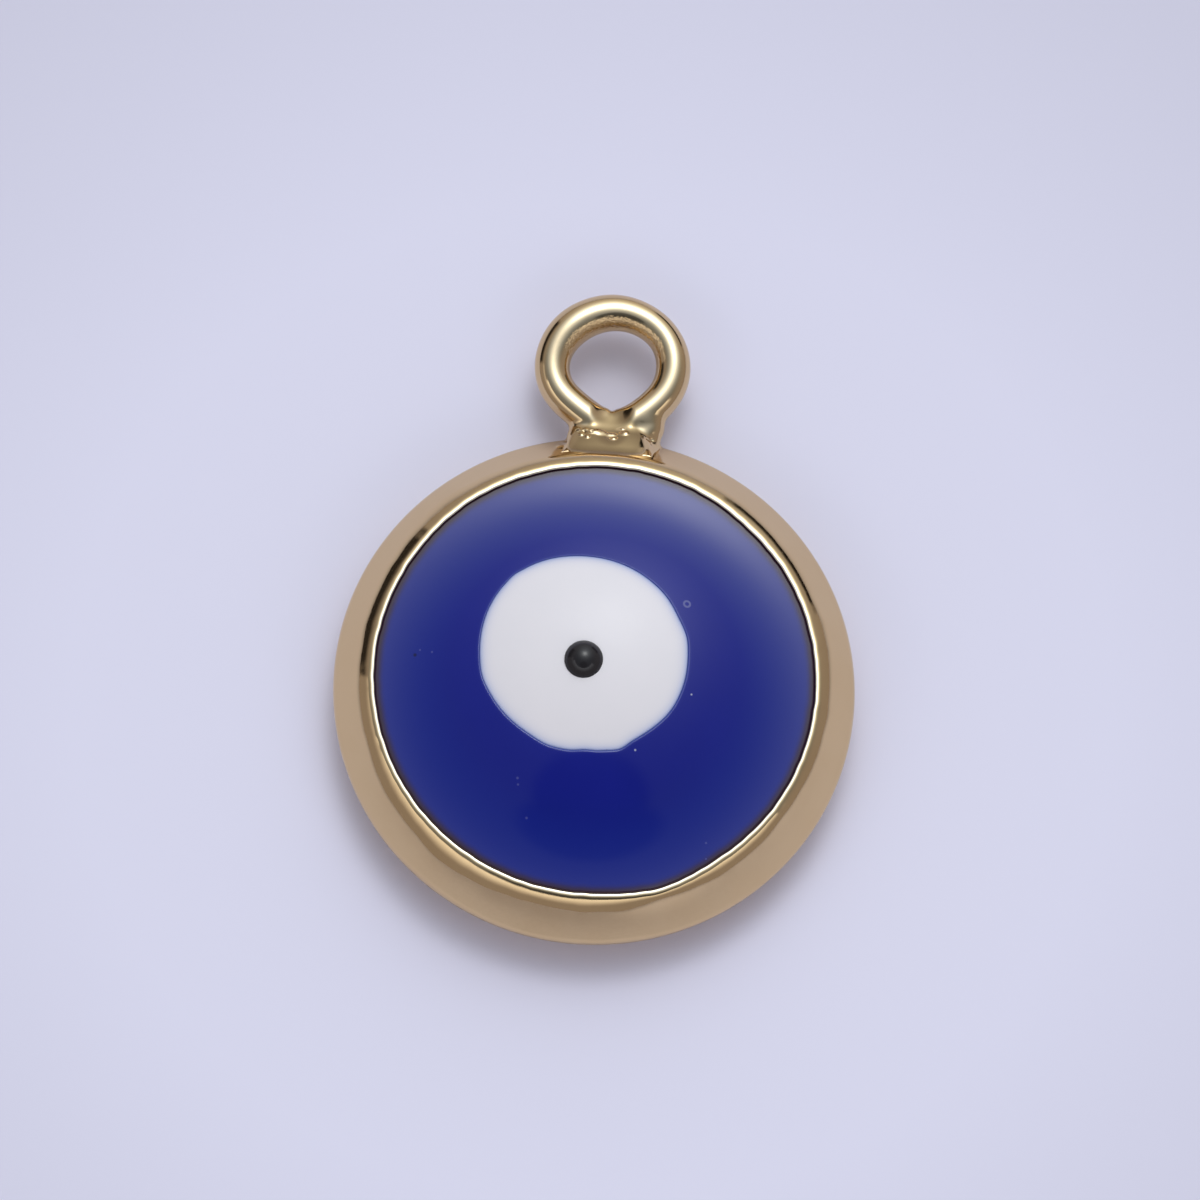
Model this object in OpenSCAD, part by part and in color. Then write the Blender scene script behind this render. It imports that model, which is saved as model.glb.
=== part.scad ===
// Evil eye pendant, lying flat on its back with the face up. Sizes are millimetres.
// A round gold setting holds a domed blue enamel with a flush white spot and a raised
// black pupil. A wire ring is soldered to the edge of the setting for hanging.
// The origin is the middle of the flat back. X runs to the right, Y towards the ring
// and Z out of the face.

/* [Setting] */
// widest diameter of the setting, at the middle of its height
setting_d = 10.0; // [8.5:0.1:14]
// height of the setting from the flat back to the top of its shoulder
setting_h = 1.75; // [1.7:0.05:2.2]
// radius of the small rounding at the widest line of the side
belly_r = 0.38; // [0.3:0.01:0.5]
// slope of the straight flank, as the lean of its face from upright in degrees
flank_turn = 53.7; // [48:0.1:58]
// radius of the shoulder between the flank and the flat lip
shoulder_r = 0.41; // [0.34:0.01:0.46]
// thickness of the metal floor under the enamel
floor_t = 0.45; // [0.3:0.05:0.8]
// width of the metal between the opening and the widest line, seen from above
rim_w = 0.79; // [0.7:0.01:1.0]

/* [Hanging ring] */
// thickness of the wire of the ring
wire_d = 0.70; // [0.55:0.01:0.85]
// clear diameter of the hole through the ring
hole_d = 1.65; // [1.4:0.05:2.4]
// depth to which the wire is let into the side of the setting
ring_sink = 0.19; // [0.12:0.01:0.3]

/* [Solder] */
// thickness of the two runs of solder that point the lower end of the hole, as a share of the wire
run_share = 0.94; // [0.85:0.01:0.97]
// angle below the middle of the hole at which the runs of solder leave the wire
run_start = 23; // [12:1:32]
// depth at which the two runs cross below the middle of the hole, as a share of the ring's radius
run_cross = 1.06; // [1.02:0.01:1.1]
// width of the solder foot at its neck
neck_w = 1.95; // [1.6:0.05:2.2]
// radius of the hollow at each side of the solder foot
foot_hollow_r = 0.3; // [0.2:0.01:0.35]
// thickness of the solder foot
foot_t = 0.42; // [0.3:0.01:0.44]

/* [Blue enamel] */
// depth of the edge of the enamel below the shoulder of the setting
edge_drop = 0.03; // [0.01:0.005:0.08]
// share of the radius over which the dome swells before it turns hollow
swell_share = 0.66; // [0.62:0.01:0.76]
// steepest slope of the dome in degrees, where the swell turns into the hollow
dome_slope = 23.5; // [14:0.5:27]
// slope that is left in degrees where the enamel meets the lip
edge_slope = 5; // [2:0.5:8]
// gap between neighbouring pieces
fit_gap = 0.015; // [0.01:0.005:0.03]

/* [White spot] */
// diameter of the flush white spot
spot_d = 3.93; // [3.0:0.01:4.1]
// place of the spot to the right of the middle
spot_x = -0.26; // [-0.35:0.01:0.35]
// place of the spot above the middle
spot_y = 0.35; // [-0.35:0.01:0.35]
// depth of the lower side of the spot below the top of the dome
spot_depth = 0.72; // [0.66:0.02:0.9]

/* [Black pupil] */
// diameter of the pupil where it rises out of the white
pupil_d = 0.74; // [0.5:0.02:1.2]
// height of the pupil above the dome
pupil_rise = 0.21; // [0.12:0.01:0.25]
// place of the pupil to the right of the middle
pupil_x = -0.24; // [-0.3:0.01:0.3]
// place of the pupil above the middle
pupil_y = 0.15; // [-0.3:0.01:0.3]
// depth of the seat of the pupil in the white
pupil_seat = 0.22; // [0.15:0.01:0.3]

/* [Hidden] */
$fn = 144;

// colours of the plain views
gold_colour = [0.86, 0.69, 0.38];
blue_colour = [0.06, 0.08, 0.45];
white_colour = [0.88, 0.88, 0.90];
black_colour = [0.06, 0.05, 0.06];

// side of the setting: the widest rounding, a straight flank and the shoulder, all tangent
mid_h = setting_h / 2;
flank_dir = [sin(flank_turn), cos(flank_turn)];
belly_c = [setting_d / 2 - belly_r, mid_h];
shoulder_drop = (setting_h - shoulder_r - mid_h) * flank_dir[1];
shoulder_x = belly_c[0] - (shoulder_r - belly_r + shoulder_drop) / flank_dir[0];
shoulder_c = [shoulder_x, setting_h - shoulder_r];

// points where one part of the side passes into the next
belly_start = [setting_d / 2, mid_h];
belly_end = belly_c + belly_r * flank_dir;
flank_end = shoulder_c + shoulder_r * flank_dir;
shoulder_end = [shoulder_c[0], setting_h];

// opening of the tray
opening_r = setting_d / 2 - rim_w;

// hanging ring
ring_r = (hole_d + wire_d) / 2;
ring_y = setting_d / 2 + hole_d / 2 + wire_d - ring_sink;
run_d = wire_d * run_share;
run_low = ring_r * run_cross;
run_x = ring_r * cos(run_start);
run_y = run_low - ring_r * sin(run_start);
run_over = wire_d / 4;
run_len = sqrt(pow(run_x, 2) + pow(run_y, 2)) + run_over;
run_turn = atan2(run_y, run_x);

// solder foot
foot_in = (opening_r + setting_d / 2) / 2;
foot_out = ring_y - run_low;
foot_side = neck_w / 2 + foot_hollow_r;

// dome of the enamel: a swelling cap that turns into a hollow collar
enamel_r = opening_r - fit_gap;
enamel_low = floor_t + fit_gap;
edge_h = setting_h - edge_drop;
swell_x = enamel_r * swell_share;
swell_r = swell_x / sin(dome_slope);
hollow_r = (enamel_r - swell_x) / (sin(dome_slope) - sin(edge_slope));
hollow_x = swell_x + hollow_r * sin(dome_slope);
hollow_h = edge_h + hollow_r * cos(edge_slope);
swell_h = hollow_h - hollow_r * cos(dome_slope);
swell_c = swell_h - swell_r * cos(dome_slope);
dome_h = swell_c + swell_r;

// white spot and pupil
spot_low = dome_h - spot_depth;
pupil_off = sqrt(pow(pupil_x, 2) + pow(pupil_y, 2));
pupil_base = swell_c + sqrt(pow(swell_r, 2) - pow(pupil_off, 2));
pupil_low = pupil_base - pupil_seat;
pupil_r = (pow(pupil_d / 2, 2) + pow(pupil_rise, 2)) / (2 * pupil_rise);

// slice of a round outline from point p to point q, with the straight part behind it
module arc_slice(p, q, middle, radius) {
    chord = q - p;
    out = [chord[1], -chord[0]] / norm(chord) * radius;
    intersection() {
        translate(middle) circle(r = radius);
        polygon([p, p + out, q + out, q]);
    }
}

// upper half of the side of the setting, from the axis to the widest line
module upper_profile() {
    polygon([[0, mid_h], belly_start, belly_end, flank_end, shoulder_end, [0, setting_h]]);
    arc_slice(belly_start, belly_end, belly_c, belly_r);
    arc_slice(flank_end, shoulder_end, shoulder_c, shoulder_r);
}

// whole section of the cup, with the tray for the enamel
module cup_profile() {
    difference() {
        union() {
            upper_profile();
            translate([0, setting_h]) mirror([0, 1]) upper_profile();
        }
        translate([-1, floor_t]) square([opening_r + 1, setting_h]);
    }
}

// run of solder along one side of the ring, side is 1 or -1
module solder_run(side) {
    translate([side * run_x, ring_y - ring_r * sin(run_start), mid_h])
        rotate([0, 0, side > 0 ? 180 + run_turn : -run_turn])
            rotate([0, 90, 0])
                cylinder(h = run_len, d = run_d);
}

// solder that fills the corners between the ring and the side of the setting
module solder_foot() {
    translate([0, 0, mid_h - foot_t / 2])
        linear_extrude(height = foot_t)
            difference() {
                translate([-foot_side, foot_in]) square([2 * foot_side, foot_out - foot_in]);
                translate([foot_side, foot_out]) circle(r = foot_hollow_r);
                translate([-foot_side, foot_out]) circle(r = foot_hollow_r);
            }
}

// cup, ring and solder are one piece of metal
module gold_setting() {
    color(gold_colour) {
        rotate_extrude() cup_profile();
        translate([0, ring_y, mid_h])
            rotate_extrude()
                translate([ring_r, 0]) circle(d = wire_d);
        solder_run(1);
        solder_run(-1);
        solder_foot();
    }
}

// section of the enamel from the axis to the wall of the tray
module dome_profile() {
    intersection() {
        translate([0, enamel_low]) square([swell_x, dome_h - enamel_low]);
        translate([0, swell_c]) circle(r = swell_r);
    }
    difference() {
        translate([swell_x, enamel_low]) square([enamel_r - swell_x, swell_h - enamel_low]);
        translate([hollow_x, hollow_h]) circle(r = hollow_r);
    }
}

// blue ground with the pocket for the white spot
module blue_enamel() {
    color(blue_colour)
        difference() {
            rotate_extrude() dome_profile();
            translate([spot_x, spot_y, spot_low]) cylinder(h = spot_depth + 1, d = spot_d);
        }
}

// flush white spot, domed like the blue, with the seat for the pupil
module white_enamel() {
    color(white_colour)
        difference() {
            intersection() {
                translate([spot_x, spot_y, spot_low + fit_gap])
                    cylinder(h = spot_depth, d = spot_d - 2 * fit_gap);
                translate([0, 0, swell_c]) sphere(r = swell_r);
            }
            translate([pupil_x, pupil_y, pupil_low]) cylinder(h = 1, d = pupil_d + 2 * fit_gap);
        }
}

// glossy black bead that stands on the white
module black_enamel() {
    color(black_colour)
        translate([pupil_x, pupil_y, 0])
            intersection() {
                translate([0, 0, pupil_low + fit_gap])
                    cylinder(h = pupil_seat + pupil_rise, d = pupil_d);
                translate([0, 0, pupil_base + pupil_rise - pupil_r]) sphere(r = pupil_r);
            }
}

gold_setting();
blue_enamel();
white_enamel();
black_enamel();
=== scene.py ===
"""Evil eye pendant lying on its back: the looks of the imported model.

A round gold setting with a soldered hanging ring holds a domed blue enamel with a flush
white spot and a raised black pupil. Pieces are shaped in millimetres, which is a handy
size at the bench, and are brought to metres when they are finished.
"""

from __future__ import annotations

import logging
import math
from collections.abc import Callable, Mapping, Sequence
from dataclasses import dataclass, field
from enum import Enum

import bpy
import numpy as np
from mathutils import Matrix, Vector


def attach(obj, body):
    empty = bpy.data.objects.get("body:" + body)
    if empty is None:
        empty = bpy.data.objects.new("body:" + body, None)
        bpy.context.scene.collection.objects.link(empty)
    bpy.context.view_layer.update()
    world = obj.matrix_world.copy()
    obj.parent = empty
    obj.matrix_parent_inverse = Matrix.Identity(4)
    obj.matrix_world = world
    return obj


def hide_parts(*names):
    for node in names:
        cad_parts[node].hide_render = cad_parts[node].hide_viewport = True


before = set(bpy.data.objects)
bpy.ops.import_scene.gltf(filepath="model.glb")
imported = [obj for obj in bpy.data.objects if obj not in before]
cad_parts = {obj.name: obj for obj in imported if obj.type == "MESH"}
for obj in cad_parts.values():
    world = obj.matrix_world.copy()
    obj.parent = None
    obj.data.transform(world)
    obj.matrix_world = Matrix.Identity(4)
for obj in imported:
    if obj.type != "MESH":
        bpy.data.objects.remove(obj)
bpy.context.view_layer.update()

log = logging.getLogger("evil_eye")

MM = 0.001  # metres in a bench unit
BODY = "root"
IMAGE_SIDE = 1200.0  # pixels of the square photograph

Section = np.ndarray | Sequence[tuple[float, float]]
Place = tuple[float, float, float]
Colour = tuple[float, float, float]
Socket = bpy.types.NodeSocket


class Slot(Enum):
    """Material slots of the record."""

    GOLD = "gold"
    BLUE = "blue"
    WHITE = "white"
    BLACK = "black"


class Tone(Enum):
    """Colours of the tiny flaws in the blue."""

    PALE = (0.45, 0.47, 0.62)
    FAINT = (0.070, 0.080, 0.320)
    CLEAR = (0.190, 0.200, 0.420)
    DEEP = (0.004, 0.005, 0.05)


class Coat(Enum):
    """Kinds of enamel coat, by the names of their pieces."""

    GROUND = "blue_ground"
    SPOT = "white_spot"


# ---------------------------------------------------------------- sizes


@dataclass(frozen=True)
class PendantSizes:
    """Sizes of the pendant in millimetres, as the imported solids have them."""

    setting_r: float = 5.0
    setting_h: float = 1.75
    belly_r: float = 0.38
    flank_turn: float = 53.7
    shoulder_r: float = 0.41
    rim_w: float = 0.79
    floor_t: float = 0.45
    wire_r: float = 0.35
    ring_r: float = 1.175
    ring_y: float = 6.335
    edge_drop: float = 0.03
    swell_share: float = 0.66
    dome_slope: float = 23.5
    edge_slope: float = 5.0
    fit_gap: float = 0.015
    spot_r: float = 1.965
    spot_x: float = -0.26
    spot_y: float = 0.35
    spot_depth: float = 0.72
    pupil_r: float = 0.37
    pupil_rise: float = 0.21
    pupil_x: float = -0.24
    pupil_y: float = 0.15
    pupil_seat: float = 0.22

    @property
    def mid_h(self) -> float:
        """Height of the widest line of the setting."""
        return self.setting_h / 2

    @property
    def opening_r(self) -> float:
        """Radius of the opening of the tray."""
        return self.setting_r - self.rim_w

    @property
    def shoulder_c(self) -> tuple[float, float]:
        """Middle of the shoulder arc.

        Returns:
            Its radius and height.
        """
        turn = math.radians(self.flank_turn)
        drop = (self.setting_h - self.shoulder_r - self.mid_h) * math.cos(turn)
        belly_x = self.setting_r - self.belly_r
        across = (self.shoulder_r - self.belly_r + drop) / math.sin(turn)
        return belly_x - across, self.setting_h - self.shoulder_r


@dataclass(frozen=True)
class Dome:
    """Bell-shaped top of the enamel: a swelling cap that turns into a hollow collar."""

    sizes: PendantSizes

    @property
    def enamel_r(self) -> float:
        """Radius of the enamel at the lip."""
        return self.sizes.opening_r - self.sizes.fit_gap

    def height(self, radius: np.ndarray) -> np.ndarray:
        """Height of the dome over the back.

        Args:
            radius: distances from the axis, in millimetres.

        Returns:
            Heights in millimetres.
        """
        s = self.sizes
        slope, edge = math.radians(s.dome_slope), math.radians(s.edge_slope)
        turn_x = self.enamel_r * s.swell_share
        swell_r = turn_x / math.sin(slope)
        hollow_r = (self.enamel_r - turn_x) / (math.sin(slope) - math.sin(edge))
        hollow_x = turn_x + hollow_r * math.sin(slope)
        hollow_h = s.setting_h - s.edge_drop + hollow_r * math.cos(edge)
        swell_c = hollow_h - (hollow_r + swell_r) * math.cos(slope)
        cap = swell_c + np.sqrt(swell_r**2 - np.minimum(radius, turn_x) ** 2)
        across = hollow_x - np.clip(radius, turn_x, self.enamel_r)
        collar = hollow_h - np.sqrt(hollow_r**2 - across**2)
        return np.where(radius <= turn_x, cap, collar)

    @property
    def top(self) -> float:
        """Height of the top of the dome."""
        return float(self.height(np.zeros(1))[0])


# ---------------------------------------------------------------- bench


class Bench:
    """Hand operations on the piece that lies on the bench."""

    @staticmethod
    def clear() -> None:
        """Lay everything down, so that the next operator meets only the new piece."""
        bpy.ops.object.select_all(action="DESELECT")

    @staticmethod
    def pick(obj: bpy.types.Object) -> None:
        """Take one piece, and only that one, in hand.

        Args:
            obj: the piece.
        """
        Bench.clear()
        obj.select_set(True)
        bpy.context.view_layer.objects.active = obj

    @staticmethod
    def read(obj: bpy.types.Object, key: str = "co") -> np.ndarray:
        """Read where a piece's points lie, or how they face.

        Args:
            obj: the piece.
            key: "co" for the places or "normal" for the facings.

        Returns:
            Rows of x, y and z.
        """
        values = np.empty(len(obj.data.vertices) * 3)
        obj.data.vertices.foreach_get(key, values)
        return values.reshape(-1, 3)

    @staticmethod
    def mark(obj: bpy.types.Object, shares: Mapping[str, np.ndarray]) -> None:
        """Store shares from 0 to 1 at a piece's points, for its finish to read.

        Args:
            obj: the piece.
            shares: one array for each name, with one share for each point.
        """
        for name, share in shares.items():
            layer = obj.data.attributes.new(name, "FLOAT", "POINT")
            layer.data.foreach_set("value", share.astype(np.float32))

    @staticmethod
    def shape(obj: bpy.types.Object, move: Callable[[np.ndarray], np.ndarray]) -> None:
        """Move each point of a piece by a rule.

        Args:
            obj: the piece.
            move: takes the points as an array of rows and returns the moved ones.
        """
        moved = move(Bench.read(obj)).astype(np.float32)
        obj.data.vertices.foreach_set("co", moved.ravel())
        obj.data.update()

    @staticmethod
    def turn(name: str, profile: Section, steps: int) -> bpy.types.Object:
        """Turn a closed round piece from its half section.

        A point is laid at the start of the section, drawn out along it and spun.

        Args:
            name: name of the piece.
            profile: section, in rows of radius and height, from axis to axis.
            steps: number of facets round the axis.

        Returns:
            The piece, closed and with its faces outwards.
        """
        rows = [(float(radius), float(height)) for radius, height in profile]
        start = (rows[0][0], 0, rows[0][1])
        Bench.clear()
        bpy.ops.mesh.primitive_plane_add(size=0.1, location=start)
        obj = bpy.context.object
        obj.name = obj.data.name = name
        bpy.ops.object.transform_apply(location=True, rotation=True, scale=True)
        bpy.ops.object.mode_set(mode="EDIT")
        bpy.ops.mesh.select_all(action="SELECT")
        bpy.ops.mesh.merge(type="CENTER")
        for (r0, z0), (r1, z1) in zip(rows[:-1], rows[1:]):
            bpy.ops.mesh.extrude_vertices_move(
                TRANSFORM_OT_translate={"value": (r1 - r0, 0, z1 - z0)}
            )
        bpy.ops.mesh.select_all(action="SELECT")
        bpy.ops.mesh.spin(steps=steps, angle=math.tau, center=(0, 0, 0), axis=(0, 0, 1))
        Bench.close_up()
        bpy.ops.object.mode_set(mode="OBJECT")
        return obj

    @staticmethod
    def close_up(threshold: float = 2e-5) -> None:
        """Merge doubled points and turn the faces outwards, in edit mode.

        Args:
            threshold: how near doubled points lie, in the units of the bench.
        """
        bpy.ops.mesh.select_all(action="SELECT")
        bpy.ops.mesh.remove_doubles(threshold=threshold)
        bpy.ops.mesh.select_all(action="SELECT")
        bpy.ops.mesh.normals_make_consistent(inside=False)

    @staticmethod
    def apply(obj: bpy.types.Object, kind: str, **settings: object) -> None:
        """Add one modifier with its settings and apply it.

        Args:
            obj: the piece.
            kind: the modifier's type.
            settings: values of the modifier.
        """
        Bench.pick(obj)
        modifier = obj.modifiers.new(kind.lower(), kind)
        for key, value in settings.items():
            setattr(modifier, key, value)
        bpy.ops.object.modifier_apply(modifier=modifier.name)

    @staticmethod
    def join(pieces: Sequence[bpy.types.Object], name: str) -> bpy.types.Object:
        """Join pieces into one and name it.

        Args:
            pieces: the pieces, whose meshes become one.
            name: name of the joined piece.

        Returns:
            The joined piece.
        """
        Bench.clear()
        for piece in pieces:
            piece.select_set(True)
        bpy.context.view_layer.objects.active = pieces[0]
        bpy.ops.object.join()
        obj = bpy.context.object
        obj.name = obj.data.name = name
        return obj

    @staticmethod
    def finish(
        obj: bpy.types.Object,
        material: bpy.types.Material,
        slot: Slot,
        replaces: str | None = None,
    ) -> bpy.types.Object:
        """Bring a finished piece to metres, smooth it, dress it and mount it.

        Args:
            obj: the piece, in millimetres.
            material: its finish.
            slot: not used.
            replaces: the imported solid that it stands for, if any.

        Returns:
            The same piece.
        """
        Bench.pick(obj)
        bpy.ops.transform.resize(value=(MM, MM, MM), center_override=(0, 0, 0))
        bpy.ops.object.transform_apply(location=True, rotation=True, scale=True)
        bpy.ops.object.shade_smooth()
        obj.data.materials.clear()
        obj.data.materials.append(material)
        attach(obj, BODY)
        if replaces:
            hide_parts(replaces)
        return obj


def bump(x: np.ndarray, width: float) -> np.ndarray:
    """Bell curve of height 1 about 0."""
    return np.exp(-((x / width) ** 2))


def bearing(points: np.ndarray, x: float = 0.0, y: float = 0.0) -> np.ndarray:
    """Direction of each point from (x, y), in degrees from 0 to 360."""
    return np.degrees(np.arctan2(points[:, 1] - y, points[:, 0] - x)) % 360


def apart(angle: np.ndarray, middle: float) -> np.ndarray:
    """Signed difference of directions, in degrees from -180 to 180."""
    return (angle - middle + 180) % 360 - 180


def step_down(x: np.ndarray, blur: float) -> np.ndarray:
    """Soft step from 1 to 0 as x passes 0."""
    return 1 / (1 + np.exp(x / blur))


def arc(x: float, z: float, radius: float, leans: np.ndarray) -> np.ndarray:
    """Arc of a section, as rows of radius and height.

    Args:
        x: distance of the arc's middle from the axis.
        z: height of the arc's middle.
        radius: radius of the arc.
        leans: directions of the points from straight up, outwards, in degrees.

    Returns:
        One row for each lean.
    """
    turn = np.radians(leans)
    return np.stack([x + radius * np.sin(turn), z + radius * np.cos(turn)], 1)


@dataclass(frozen=True)
class Swerve:
    """One local departure of a line from its true circle, by bearing and width."""

    bearing: float
    width: float
    reach: float


@dataclass(frozen=True)
class Ripple:
    """A small even waviness: waves round the circle, reach, and phase in radians."""

    waves: int
    reach: float
    phase: float


def stray(
    angle: np.ndarray, swerves: Sequence[Swerve], ripples: Sequence[Ripple] = ()
) -> np.ndarray:
    """How far a hand-worked line strays from its true circle.

    Args:
        angle: bearings, in degrees.
        swerves: its local departures.
        ripples: its waviness.

    Returns:
        Outward shifts, in millimetres.
    """
    total = np.zeros_like(angle)
    for swerve in swerves:
        total += swerve.reach * bump(apart(angle, swerve.bearing), swerve.width)
    for ripple in ripples:
        total += ripple.reach * np.cos(ripple.waves * np.radians(angle) + ripple.phase)
    return total


# ---------------------------------------------------------------- finishes


@dataclass
class NodeBoard:
    """Small helper that lays out the nodes of one material or world."""

    owner: bpy.types.Material | bpy.types.World
    made: int = 0

    @classmethod
    def new(cls, name: str) -> NodeBoard:
        """Start a material with only its output node.

        Args:
            name: name of the material.

        Returns:
            The board of its nodes.
        """
        material = bpy.data.materials.new(name)
        material.use_nodes = True
        tree = material.node_tree
        for node in list(tree.nodes):
            if node.type != "OUTPUT_MATERIAL":
                tree.nodes.remove(node)
        return cls(material)

    @classmethod
    def sky(cls, name: str) -> NodeBoard:
        """Start the scene's world without nodes.

        Args:
            name: name of the world.

        Returns:
            The board of its nodes.
        """
        world = bpy.data.worlds.new(name)
        bpy.context.scene.world = world
        world.use_nodes = True
        world.node_tree.nodes.clear()
        return cls(world)

    def add(self, kind: str, **settings: object) -> bpy.types.Node:
        """Add a node, then set its properties and, by name, its input values.

        Args:
            kind: the node's type.
            settings: properties, or inputs where no such property exists.

        Returns:
            The node.
        """
        node = self.owner.node_tree.nodes.new(kind)
        node.location = (-180 * (self.made % 8), -260 * (self.made // 8))
        self.made += 1
        for key, value in settings.items():
            if hasattr(node, key):
                setattr(node, key, value)
            else:
                node.inputs[key.replace("_", " ")].default_value = value
        return node

    def link(self, source: Socket, target: Socket) -> None:
        """Join two sockets."""
        self.owner.node_tree.links.new(source, target)

    def out(self, shader: bpy.types.Node) -> None:
        """Send a shader to the output."""
        output = self.owner.node_tree.get_output_node("ALL")
        self.link(shader.outputs[0], output.inputs["Surface"])

    def feed(self, value: float | Socket, target: Socket) -> None:
        """Give an input a number or the value of another socket.

        Args:
            value: the number or the other socket.
            target: the input.
        """
        if isinstance(value, (int, float)):
            target.default_value = value
        else:
            self.link(value, target)

    def math(self, operation: str, *values: float | Socket) -> Socket:
        """Reckon with up to three values, each a socket or fixed.

        Args:
            operation: the math node's operation.
            values: the values, in the node's order.

        Returns:
            The result.
        """
        node = self.add("ShaderNodeMath", operation=operation)
        for value, target in zip(values, node.inputs):
            self.feed(value, target)
        return node.outputs[0]

    def vector(
        self, operation: str, a: Socket | Sequence[float], b: Socket | Sequence[float]
    ) -> bpy.types.Node:
        """Reckon with two vectors, each a socket or fixed.

        Args:
            operation: the vector math node's operation.
            a: first vector.
            b: second vector.

        Returns:
            The node, which has a vector and a value.
        """
        node = self.add("ShaderNodeVectorMath", operation=operation)
        for given, target in zip((a, b), node.inputs):
            if isinstance(given, Socket):
                self.link(given, target)
            else:
                target.default_value = given
        return node

    def dot(self, vector: Socket, axis: Sequence[float]) -> Socket:
        """Share of a vector along an axis."""
        return self.vector("DOT_PRODUCT", vector, axis).outputs["Value"]

    def scaled(self, vector: Socket | Colour, share: Socket) -> Socket:
        """Vector or colour times a share.

        Args:
            vector: the vector, a socket or fixed.
            share: the factor.

        Returns:
            The product.
        """
        node = self.add("ShaderNodeVectorMath", operation="SCALE")
        if isinstance(vector, Socket):
            self.link(vector, node.inputs[0])
        else:
            node.inputs[0].default_value = vector
        self.link(share, node.inputs["Scale"])
        return node.outputs[0]

    def place(self) -> Socket:
        """Object coordinates of the piece."""
        return self.add("ShaderNodeTexCoord").outputs["Object"]

    def mark(self, name: str) -> Socket:
        """Value that the piece carries at its points under this name."""
        return self.add("ShaderNodeAttribute", attribute_name=name).outputs["Fac"]

    def noise(self, place: Socket, scale: float, detail: float) -> Socket:
        """Soft noise.

        Args:
            place: where the noise is read.
            scale: its scale, in waves per metre.
            detail: how many finer layers it has.

        Returns:
            Its value, from 0 to 1.
        """
        node = self.add("ShaderNodeTexNoise", Scale=scale, Detail=detail)
        self.link(place, node.inputs["Vector"])
        return node.outputs["Fac"]

    def spread(
        self,
        value: Socket,
        low: float,
        high: float,
        to_low: float = 0.0,
        to_high: float = 1.0,
        soft: bool = False,
    ) -> Socket:
        """Map a value from one range onto another, clamped.

        Args:
            value: the value.
            low: start of its range.
            high: end of its range.
            to_low: result at the start.
            to_high: result at the end.
            soft: whether the ends are soft.

        Returns:
            The mapped value.
        """
        node = self.add("ShaderNodeMapRange")
        if soft:
            node.interpolation_type = "SMOOTHSTEP"
        for key, number in zip(
            ("From Min", "From Max", "To Min", "To Max"), (low, high, to_low, to_high)
        ):
            node.inputs[key].default_value = number
        self.link(value, node.inputs["Value"])
        return node.outputs["Result"]

    def mix(self, share: Socket, a: Colour | Socket, b: Colour | Socket) -> Socket:
        """Mix two colours.

        Args:
            share: share of the second.
            a: first colour, a socket or fixed.
            b: second colour, a socket or fixed.

        Returns:
            The mixed colour.
        """
        node = self.add("ShaderNodeMix", data_type="RGBA")
        self.link(share, node.inputs["Factor"])
        for key, colour in (("A", a), ("B", b)):
            socket = next(s for s in node.inputs if (s.name, s.type) == (key, "RGBA"))
            if isinstance(colour, tuple):
                socket.default_value = (*colour, 1.0)
            else:
                self.link(colour, socket)
        return next(s for s in node.outputs if s.type == "RGBA")

    def relief(
        self, height: Socket, depth: float, under: Socket | None = None
    ) -> Socket:
        """Bump, over another one if given.

        Args:
            height: its height, from 0 to 1.
            depth: its depth, in metres.
            under: the facing of the bump beneath it.

        Returns:
            The bumped facing.
        """
        node = self.add("ShaderNodeBump", Distance=depth, Strength=1.0)
        self.link(height, node.inputs["Height"])
        if under is not None:
            self.link(under, node.inputs["Normal"])
        return node.outputs["Normal"]


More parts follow.
